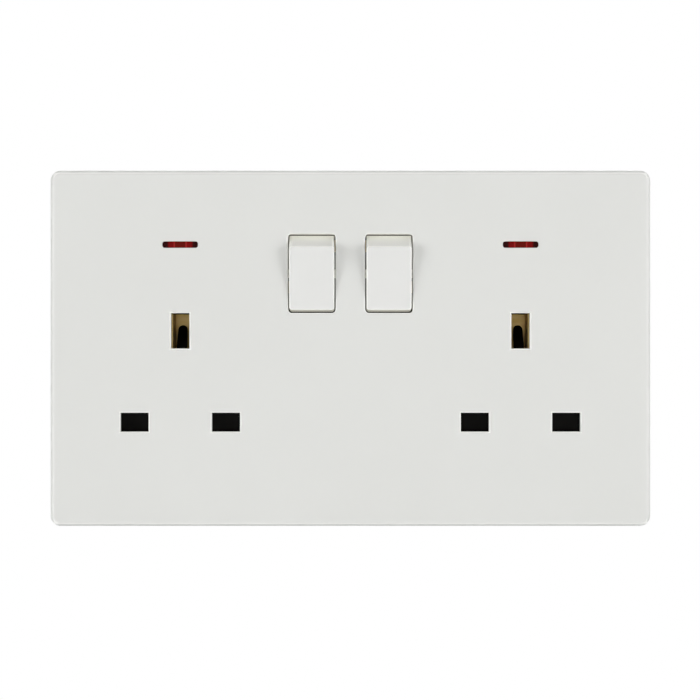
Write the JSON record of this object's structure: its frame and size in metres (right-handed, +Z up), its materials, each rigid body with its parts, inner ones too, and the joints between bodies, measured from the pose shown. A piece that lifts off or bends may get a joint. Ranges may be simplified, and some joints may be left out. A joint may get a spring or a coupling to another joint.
{
  "type": "twin switched socket outlet",
  "caption": "White screwless wall plate of switched mains socket outlets, with rocker switches and red neon indicators above the pin slots",
  "frame": {"origin": "the middle of the plate, on the wall plane behind it", "axes": "X right as seen from the front, Y into the wall, Z up"},
  "size_m": [0.146, 0.0328, 0.0864],
  "materials": {
    "white_moulding": "cool white polycarbonate with a soft satin gloss",
    "rocker_moulding": "white polycarbonate, slightly glossier than the plate",
    "dark_moulding": "dark grey heat-resistant moulding, fine matt texture",
    "shutter_moulding": "black moulding, smooth on the ramp",
    "acetal": "natural white acetal",
    "brass": "stamped brass sheet, bright where it was sheared",
    "copper_alloy": "phosphor bronze strip",
    "silver_tip": "silver alloy contact buttons",
    "steel": "spring steel wire",
    "screw_steel": "zinc plated steel with a faint yellow passivation",
    "red_lens": "transparent red polycarbonate",
    "lamp_glass": "small clear neon bulb with two wire electrodes",
    "resistor_body": "beige lacquered body with tinned leads"
  },
  "bodies": {
    "root": {"front_plate": "white_moulding", "base_plate": "white_moulding", "rear_housing": "dark_moulding", "left_pivot_bracket": "brass", "left_line_strap": "brass", "left_line_contact": "brass", "left_neutral_contact": "brass", "left_earth_contact": "brass", "left_shutter_spring": "steel", "left_neon_lens": "red_lens", "left_neon_lamp": "lamp_glass", "left_resistor": "resistor_body", "right_pivot_bracket": "brass", "right_line_strap": "brass", "right_line_contact": "brass", "right_neutral_contact": "brass", "right_earth_contact": "brass", "right_shutter_spring": "steel", "right_neon_lens": "red_lens", "right_neon_lamp": "lamp_glass", "right_resistor": "resistor_body", "line_bar": "brass", "neutral_bar": "brass", "earth_bar": "brass", "fixed_contact_tips": "silver_tip", "line_rivets": "brass", "neutral_rivets": "brass", "earth_rivets": "brass", "neutral_terminal": "brass", "line_terminal": "brass", "earth_terminal": "brass", "housing_screws": "screw_steel"},
    "left_rocker": {"left_rocker": "rocker_moulding", "left_rocker_spring": "steel"},
    "left_plunger": {"left_plunger": "acetal"},
    "left_rocking_contact": {"left_rocking_contact": "copper_alloy", "left_moving_tip": "silver_tip"},
    "left_shutter": {"left_shutter": "shutter_moulding"},
    "right_rocker": {"right_rocker": "rocker_moulding", "right_rocker_spring": "steel"},
    "right_plunger": {"right_plunger": "acetal"},
    "right_rocking_contact": {"right_rocking_contact": "copper_alloy", "right_moving_tip": "silver_tip"},
    "right_shutter": {"right_shutter": "shutter_moulding"},
    "neutral_terminal_screw": {"neutral_terminal_screw": "screw_steel"},
    "line_terminal_screw": {"line_terminal_screw": "screw_steel"},
    "earth_terminal_screw": {"earth_terminal_screw": "screw_steel"}
  },
  "joints": [
    {"name": "left_rocker_hinge", "type": "hinge", "parent": "root", "child": "left_rocker", "pos_m": [-0.0094, -0.0038, 0.0182], "axis": [-1, 0, 0], "range_deg": [0, 21.4]},
    {"name": "left_plunger_slide", "type": "slide", "parent": "left_rocker", "child": "left_plunger", "axis": [0, -0.9826, -0.1857], "range_m": [0, 0.0012], "stiffness_N_per_m": 900, "springref_m": -0.002, "deforming": ["left_rocker_spring"]},
    {"name": "left_contact_hinge", "type": "hinge", "parent": "root", "child": "left_rocking_contact", "pos_m": [-0.0094, 0.00625, 0.0182], "axis": [1, 0, 0], "range_deg": [0, 20]},
    {"name": "left_shutter_slide", "type": "slide", "parent": "root", "child": "left_shutter", "axis": [0, 0, -1], "range_m": [0, 0.0057], "stiffness_N_per_m": 180, "springref_m": -0.004, "deforming": ["left_shutter_spring"]},
    {"name": "right_rocker_hinge", "type": "hinge", "parent": "root", "child": "right_rocker", "pos_m": [0.0094, -0.0038, 0.0182], "axis": [-1, 0, 0], "range_deg": [0, 21.4]},
    {"name": "right_plunger_slide", "type": "slide", "parent": "right_rocker", "child": "right_plunger", "axis": [0, -0.9826, -0.1857], "range_m": [0, 0.0012], "stiffness_N_per_m": 900, "springref_m": -0.002, "deforming": ["right_rocker_spring"]},
    {"name": "right_contact_hinge", "type": "hinge", "parent": "root", "child": "right_rocking_contact", "pos_m": [0.0094, 0.00625, 0.0182], "axis": [1, 0, 0], "range_deg": [0, 20]},
    {"name": "right_shutter_slide", "type": "slide", "parent": "root", "child": "right_shutter", "axis": [0, 0, -1], "range_m": [0, 0.0057], "stiffness_N_per_m": 180, "springref_m": -0.004, "deforming": ["right_shutter_spring"]},
    {"name": "neutral_terminal_screw_travel", "type": "slide", "parent": "root", "child": "neutral_terminal_screw", "axis": [0, -1, 0], "range_m": [0, 0.0036]},
    {"name": "line_terminal_screw_travel", "type": "slide", "parent": "root", "child": "line_terminal_screw", "axis": [0, -1, 0], "range_m": [0, 0.0036]},
    {"name": "earth_terminal_screw_travel", "type": "slide", "parent": "root", "child": "earth_terminal_screw", "axis": [0, -1, 0], "range_m": [0, 0.0036]}
  ],
  "couplings": [
    {"joint": "left_contact_hinge", "follows": "left_rocker_hinge", "ratio": 0.93458},
    {"joint": "right_contact_hinge", "follows": "right_rocker_hinge", "ratio": 0.93458}
  ]
}
